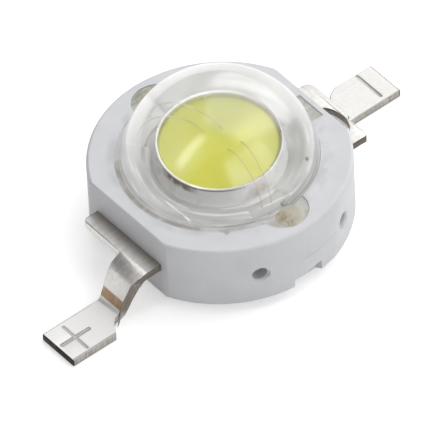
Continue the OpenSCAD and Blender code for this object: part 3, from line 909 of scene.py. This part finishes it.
def riser_outline(strip, gap=0.0):
    """Upright that carries the bonding ring, seen from above, for the anode."""
    near, far, half = RISER_X - gap, RISER_X + strip + gap, RISER_HALF + gap
    return [(near, -half), (far, -half), (far, half), (near, half)]


def side_view(bend_x, strip, slope):
    """Lead from the side: crossbar, bends, slope and foot, in X and Z."""
    upper_out, lower_out = UPPER_BEND + strip, LOWER_BEND + strip
    upper_z, lower_z = LEAD_TOP - upper_out, strip + LOWER_BEND
    tilt = math.radians(slope)
    foot_x = bend_x + (upper_out + LOWER_BEND - (lower_z - upper_z) * math.cos(tilt)) / math.sin(tilt)
    outline = [(RISER_X, LEAD_TOP - strip), (RISER_X, LEAD_TOP)]
    outline += arc((bend_x, upper_z), upper_out, 90, 90 - slope, 16)
    outline += arc((foot_x, lower_z), LOWER_BEND, 270 - slope, 270, 12)
    outline += [(TIP_X, strip), (TIP_X, 0)]
    outline += arc((foot_x, lower_z), lower_out, 270, 270 - slope, 12)
    outline += arc((bend_x, upper_z), UPPER_BEND, 90 - slope, 90, 16)
    return outline, foot_x


def lead_piece(name, bend_x, outline, metal, strip, slope, half_turn, signs, hole=None):
    """One formed lead with its bonding ring and stamped sign."""
    profile, foot_x = side_view(bend_x, strip, slope)
    lead = solid(name, side_prism(profile, -3, 3), metal)
    combine(lead, [solid("plan", prism(outline(foot_x), -0.5, 2.5), metal)], "INTERSECT")
    combine(lead, [solid("riser", prism(riser_outline(strip), LEAD_TOP - strip, RING_TOP - 0.1), metal),
                   solid("ring", prism(ring_outline(), RING_TOP - strip, RING_TOP), metal)], "UNION")
    cuts = [solid("sign", c, metal) for c in signs]
    if hole:
        cuts.append(solid("hole", post(*hole, 0, 3, 96), metal))
    combine(lead, cuts)
    if half_turn:
        lead.data.transform(Matrix.Rotation(math.pi, 4, "Z"))
    ease_edges(lead, 0.022, 38)
    lead.data.materials.append(sheared_finish())
    centre = Vector((-hole[0], -hole[1])) if hole else None
    for face in lead.data.polygons:
        tip = abs(face.center.x) > 7.2 and abs(face.normal.x) > 0.3
        side = abs(face.normal.y) > 0.3 and face.center.z < LEAD_TOP + 0.01
        wall = hole and abs((face.center.xy - centre).length - hole[2]) < 0.03 and abs(face.normal.z) < 0.3
        if tip or side or wall:
            face.material_index = len(lead.data.materials) - 1
    return lead


def rounded_bar(x0, x1, y0, y1, low, high):
    """Long bar with half-round ends, for a stamped sign."""
    if x1 - x0 > y1 - y0:
        r = (y1 - y0) / 2
        outline = arc((x1 - r, y0 + r), r, -90, 90, 8) + arc((x0 + r, y0 + r), r, 90, 270, 8)
    else:
        r = (x1 - x0) / 2
        outline = arc((x0 + r, y1 - r), r, 0, 180, 8) + arc((x0 + r, y0 + r), r, 180, 360, 8)
    return prism(outline, low, high)


def bar_edge(edge, low, neck):
    """Edge of a crossbar from above: its round corner, then the fillet to the neck."""
    return [(RISER_X - 0.1, low)] + arc((edge - 0.2, low + 0.2), 0.2, -90, 0, 10) \
        + arc((edge + 0.1, neck - 0.1), 0.1, 180, 90, 8)


def anode_outline(foot_x):
    """Anode from above, without its ring."""
    edge, foot_low, foot_high = 4.16, 0.33, 1.79
    low, high = ANODE_BAR
    return bar_edge(edge, low, foot_low) + [
        (TIP_X, foot_low), (TIP_X, foot_high), (foot_x + 0.44, foot_high), (foot_x + 0.18, foot_high - 0.4),
        (foot_x + 0.04, foot_high - 0.52), (foot_x - 0.24, foot_high - 0.52), (foot_x - 0.54, high - 0.14),
        (edge + 0.22, high), (RISER_X - 0.1, high)]


def cathode_outline(foot_x):
    """Cathode from above, without its ring, before its half turn."""
    edge, foot_low, foot_high, neck = 4.52, 0.33, 1.73, -0.46
    low, high = CATHODE_BAR
    return bar_edge(edge, low, neck) + [
        (foot_x - 0.44, foot_low - 0.35), (foot_x - 0.3, foot_low - 0.05), (foot_x - 0.1, foot_low),
        (TIP_X, foot_low), (TIP_X, foot_high), (foot_x + 0.5, foot_high), (foot_x + 0.2, foot_high - 0.16),
        (foot_x + 0.05, foot_high - 0.4), (foot_x - 0.3, high - 0.04), (edge, high), (RISER_X - 0.1, high)]


def burr_skin():
    """Curl of metal that was left by the shears at the bend of the near foot."""
    curl = [(4.98, 1.25, 0.50, 0.014), (5.03, 1.30, 0.42, 0.028), (5.10, 1.35, 0.27, 0.032),
            (5.18, 1.40, 0.12, 0.024), (5.24, 1.41, 0.015, 0.008)]
    turns = [k * math.pi / 3 for k in range(6)]
    return loft([[(x + r * math.cos(t), y + r * math.sin(t), z) for t in turns] for x, y, z, r in curl])


class LED_OT_leads(bpy.types.Operator):
    """Anode lead with a plus sign and cathode lead with a minus sign and a round hole"""
    bl_idname = "led.leads"
    bl_label = "Leads"

    def execute(self, context):
        s = context.scene.led_leads
        strip, slope = s.thickness / MM, math.degrees(s.slope)
        metal = plating_finish(tuple(s.colour))
        low, high = strip - s.groove / MM, 0.5
        plus = [rounded_bar(6.54, 6.64, 0.49, 1.66, low, high), rounded_bar(6.01, 7.15, 1.02, 1.12, low, high)]
        minus = [rounded_bar(6.60, 6.70, 0.51, 1.68, low, high)]
        anode = lead_piece("anode_strip", 4.09, anode_outline, metal, strip, slope, False, plus)
        place(anode, "lead_plating", "anode_lead", smooth=50, even=True)
        place(solid("anode_burr", burr_skin(), anode.data.materials[-1]), "lead_plating")
        cathode = lead_piece("cathode_strip", 4.24, cathode_outline, metal, strip, slope, True, minus,
                             (FLAT_X, HOLE_Y, HOLE_R))
        place(cathode, "lead_plating", "cathode_lead", smooth=50, even=True)
        return {"FINISHED"}


class LED_OT_lens(bpy.types.Operator):
    """Clear dome with its ears, gate tab, filling holes and hollow"""
    bl_idname = "led.lens"
    bl_label = "Lens"

    def execute(self, context):
        s = context.scene.led_lens
        clear = clear_finish("lens_clear", 1.49, (0.985, 0.99, 0.995), rough=0.11, veil=1.0)
        inner = clear_finish("lens_inside", 1.057, (1.0, 1.0, 1.0))
        seat = SEAT_Z + 0.008
        dome = [(0, seat)] + cap(s.dome_radius / MM, top_of("lens"), seat, 90)
        lens = solid("lens_dome", lathe(dome, 288), clear)
        combine(lens, [solid("ear", c, clear) for c in lens_blocks(0.0, seat + 0.004, EAR_TOP)], "UNION")
        hollow_r, hollow_h = s.hollow_radius / MM, s.hollow_height / MM
        hollow = [(0, SEAT_Z - 0.1), (hollow_r, SEAT_Z - 0.1)]
        hollow += cap(cap_sphere(hollow_r, hollow_h), SEAT_Z + hollow_h, SEAT_Z, 48)
        cuts = [solid("hollow", lathe(hollow), inner)]
        cuts += [solid("hole", post(0, side * FILL_HOLE_Y, FILL_HOLE_R, 2.0, 3.0), inner) for side in (-1, 1)]
        combine(lens, cuts)
        names = [m.name for m in lens.data.materials]
        contact = names.index(inner.name)
        lens.data.materials.append(ear_finish())
        for face in lens.data.polygons:
            if face.normal.z > 0.9 and abs(face.center.z - EAR_TOP) < 0.01:
                face.material_index = len(names)
            low_face = face.normal.z < -0.9 and face.center.z < SEAT_Z + 0.02
            side_face = abs(face.normal.z) < 0.1 and face.center.z < EAR_TOP
            if low_face or side_face:
                face.material_index = contact
        place(lens, "lens_clear", "lens", smooth=25)
        return {"FINISHED"}


class LED_OT_gel(bpy.types.Operator):
    """Clear gel between the cup, the housing and the dome, with its two filling plugs"""
    bl_idname = "led.gel"
    bl_label = "Gel"

    def execute(self, context):
        s = context.scene.led_lens
        soft = clear_finish("gel_inside", 1.0, tuple(s.gel_tint))
        gap = 0.012
        hollow_r, hollow_h = s.hollow_radius / MM - gap, s.hollow_height / MM - gap
        floor = WELL_Z + gap
        body = [(0, FILL_Z + 0.15), (FILL_R, FILL_Z + 0.08), (CUP_R - gap, RIM_Z),
                (BARREL_R + gap, RIM_Z + 0.01), (BARREL_R + gap, floor),
                (hollow_r - 0.03, floor), (hollow_r, floor + 0.03)]
        body += cap(cap_sphere(hollow_r, hollow_h), SEAT_Z + hollow_h, SEAT_Z, 32)
        gel = solid("gel_body", lathe(body, 128), soft)
        plugs = [prism(window_outline(turn, gap), RING_TOP + gap, WELL_Z + 0.05) for turn in WINDOWS]
        r = FILL_HOLE_R - gap
        drop = ((r, 0.002), (0.44, 0.002), (0.445, 0.005), (0.40, 0.014), (0.30, 0.024), (0.15, 0.03), (0, 0.031))
        plug = [(0, floor), (r, floor)] + [(out, EAR_TOP + rise) for out, rise in drop]
        for side in (-1, 1):
            plugs.append(moved(lathe(plug, 48), Matrix.Translation((0, side * FILL_HOLE_Y, 0))))
            plugs.append(box_block(gap - CHANNEL_HALF, CHANNEL_HALF - gap,
                                   *sorted((side * 2.2, side * FILL_HOLE_Y)), floor, SEAT_Z - 0.004))
        combine(gel, [solid("plug", c, soft) for c in plugs], "UNION")
        gel.data.materials.append(plug_finish())
        for face in gel.data.polygons:
            if face.center.xy.length > 2.9 and face.center.z > SEAT_Z:
                face.material_index = len(gel.data.materials) - 1
        place(gel, "gel", "gel_fill", smooth=30)
        return {"FINISHED"}


class LED_OT_phosphor(bpy.types.Operator):
    """Phosphor mound in the cup"""
    bl_idname = "led.phosphor"
    bl_label = "Phosphor"

    def execute(self, context):
        s = context.scene.led_cup
        rise, edge, level, steps = 0.06, FILL_R + 0.026, FILL_Z + 0.05, 24
        sphere = cap_sphere(edge, rise)
        middle = level + rise - sphere
        profile = [(0, CUP_Z), (CUP_FLOOR_R - 0.012, CUP_Z), (edge, level)]
        for i in range(1, steps + 1):
            r = edge * (1 - i / steps)
            profile.append((r, middle + math.sqrt(sphere ** 2 - r * r)))
        bm = lathe(profile, 128)
        for v in bm.verts:
            r = v.co.xy.length
            if v.co.z > level + 0.001 and r < edge:
                wave = noise.noise(Vector((v.co.x * 1.3, v.co.y * 1.3, 4.0))) * 0.012
                v.co.z += wave * (1 - (r / edge) ** 4)
        mound = solid("phosphor_mound", bm, phosphor_finish(tuple(s.phosphor)))
        place(mound, "phosphor", "phosphor_fill", smooth=40)
        return {"FINISHED"}


def wire_piece(name, start, end, radius, gold):
    """Thin wire that arches from the chip over the rim and ends in a stitch on a bonding ring."""
    line = bpy.data.curves.new(name + "_line", "CURVE")
    line.dimensions = "3D"
    line.bevel_depth = radius
    line.bevel_resolution = 3
    line.use_fill_caps = True
    spline = line.splines.new("BEZIER")
    spline.bezier_points.add(1)
    spline.resolution_u = 48
    for point, plan, z in zip(spline.bezier_points, (start, end), (BALL_Z, RING_TOP + 0.02)):
        point.co = (*plan, z)
        point.handle_left_type = point.handle_right_type = "FREE"
        point.handle_left = point.handle_right = (*plan, RIM_Z + ARCH)
    tube = linked("tube", line)
    mesh = worked_out(tube)
    bpy.data.objects.remove(tube)
    bpy.data.curves.remove(line)
    mesh.materials.clear()
    mesh.materials.append(gold)
    wire = linked(name + "_gold", mesh)
    stitch = lathe([(0, RING_TOP), (0.028, RING_TOP), (0.03, RING_TOP + 0.01), (0.015, RING_TOP + 0.026),
                    (0, RING_TOP + 0.026)], 24)
    combine(wire, [solid("stitch", moved(stitch, Matrix.Translation((*end, 0))), gold)], "UNION")
    return wire


class LED_OT_chip(bpy.types.Operator):
    """Chip and its bond layer under the phosphor, and the gold wires"""
    bl_idname = "led.chip"
    bl_label = "Chip and wires"

    def execute(self, context):
        s = context.scene.led_cup
        for node, material in (("led_chip", chip_finish()), ("die_attach", attach_finish())):
            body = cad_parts[node]
            body.data.materials.clear()
            body.data.materials.append(material)
        gold = gold_finish()
        # Where each wire starts on the chip, and the direction in which it ends on a ring
        ends = {
            "bond_wire_1": ((-0.13, -0.03), 85.5), "bond_wire_2": ((-0.49, 0), 94.5),
            "bond_wire_3": ((-0.12, -0.42), -70.1), "bond_wire_4": ((-0.44, -0.22), -86.4),
        }
        for node, (start, turn) in ends.items():
            t = math.radians(turn)
            end = Vector((STITCH_R * math.cos(t), STITCH_R * math.sin(t)))
            wire = wire_piece(node, Vector(start), end, s.wire / MM / 2, gold)
            place(wire, "bond_wire", node, smooth=50)
        return {"FINISHED"}


def photo_camera():
    """Long-lens camera at the photograph's angle."""
    turn, lift, roll = (math.radians(angle) for angle in (CAMERA_TURN, CAMERA_LIFT, CAMERA_ROLL))
    back = Vector((math.sin(turn) * math.cos(lift), -math.cos(turn) * math.cos(lift), math.sin(lift)))
    level = Vector((math.cos(turn), math.sin(turn), 0))
    over = back.cross(level)
    right = math.cos(roll) * level + math.sin(roll) * over
    up = math.cos(roll) * over - math.sin(roll) * level
    spot = (back * CAMERA_AWAY + right * CAMERA_RIGHT + up * CAMERA_UP) * MM
    camera = bpy.data.cameras.new("camera")
    camera.sensor_width = SENSOR
    camera.lens = FOCAL_PIXELS / PICTURE_PIXELS * SENSOR
    view = linked("camera", camera)
    view.matrix_world = Matrix.Translation(spot) @ Matrix((right, up, back)).transposed().to_4x4()
    return view


def lamp(name, azimuth, elevation, width, height, power, roll=0, fade=0.3):
    """Lamp half a metre away that points at the part and fades towards its edges, for soft reflections."""
    lit = 1 - fade / 2
    light = bpy.data.lights.new(name, "AREA")
    light.shape = "RECTANGLE"
    light.size, light.size_y = width / lit, height / lit
    light.energy = power
    light.use_nodes = True
    nodes = Nodes(light.node_tree)
    across = nodes.node("ShaderNodeNewGeometry").outputs["Parametric"]
    u, v, _ = nodes.node("ShaderNodeSeparateXYZ", Vector=across).outputs
    bright = nodes.both(nodes.band(u, 0.5, 0.5 - fade / 2, fade / 2), nodes.band(v, 0.5, 0.5 - fade / 2, fade / 2))
    nodes.feed(light.node_tree.nodes["Emission"].inputs["Strength"], nodes.both(bright, 1 / lit ** 2))
    obj = linked(name, light)
    a, e = math.radians(azimuth), math.radians(elevation)
    spot = Vector((math.cos(a) * math.cos(e), math.sin(a) * math.cos(e), math.sin(e))) * 0.5
    obj.location = spot
    obj.rotation_euler = (spot.to_track_quat("Z", "Y") @ Quaternion((0, 0, 1), math.radians(roll))).to_euler()


class LED_OT_studio(bpy.types.Operator):
    """Pale floor, soft lamps and the camera"""
    bl_idname = "led.studio"
    bl_label = "Studio"

    def execute(self, context):
        s = context.scene.led_studio
        scene = context.scene
        scene.camera = photo_camera()
        scene.view_settings.view_transform = "Standard"

        bm = bmesh.new()
        bmesh.ops.create_grid(bm, x_segments=8, y_segments=8, size=0.6)
        mesh = bpy.data.meshes.new("floor")
        bm.to_mesh(mesh)
        bm.free()
        mesh.materials.append(floor_finish())
        floor = linked("floor", mesh)
        floor.location.z = -0.00001

        world = bpy.data.worlds.new("studio")
        world.use_nodes = True
        scene.world = world
        ground = world.node_tree.nodes["Background"]
        ground.inputs["Color"].default_value = (1, 1, 1, 1)
        ground.inputs["Strength"].default_value = s.fill

        lamp("back_lamp", -166, 47, 0.66, 1.05, s.key, 14, fade=0.42)
        lamp("left_lamp", -5, 49, 0.1, 0.38, s.key * 0.085, fade=0.6)
        lamp("front_lamp", 95, 28, 0.55, 0.45, s.key * 0.24)
        return {"FINISHED"}


STEPS = (LED_OT_housing, LED_OT_slug, LED_OT_leads, LED_OT_lens, LED_OT_gel, LED_OT_phosphor, LED_OT_chip,
         LED_OT_studio)
SETTINGS = {"led_housing": HousingSettings, "led_lens": LensSettings, "led_leads": LeadSettings,
            "led_cup": CupSettings, "led_studio": StudioSettings}


class LED_PT_panel(bpy.types.Panel):
    """Lists the settings and the pieces of the LED"""
    bl_idname = "LED_PT_panel"
    bl_label = "Power LED"
    bl_space_type = "VIEW_3D"
    bl_region_type = "UI"
    bl_category = "Power LED"

    def draw(self, context):
        for group, kind in SETTINGS.items():
            box = self.layout.box()
            for name in kind.__annotations__:
                box.prop(getattr(context.scene, group), name)
        for step in STEPS:
            self.layout.operator(step.bl_idname)


CLASSES = (*SETTINGS.values(), *STEPS, LED_PT_panel)


def register():
    for item in CLASSES:
        bpy.utils.register_class(item)
    for name, kind in SETTINGS.items():
        setattr(bpy.types.Scene, name, PointerProperty(type=kind))


def unregister():
    for name in SETTINGS:
        delattr(bpy.types.Scene, name)
    for item in reversed(CLASSES):
        bpy.utils.unregister_class(item)


def main():
    register()
    for step in STEPS:
        group, name = step.bl_idname.split(".")
        getattr(getattr(bpy.ops, group), name)()


if __name__ == "__main__":
    main()
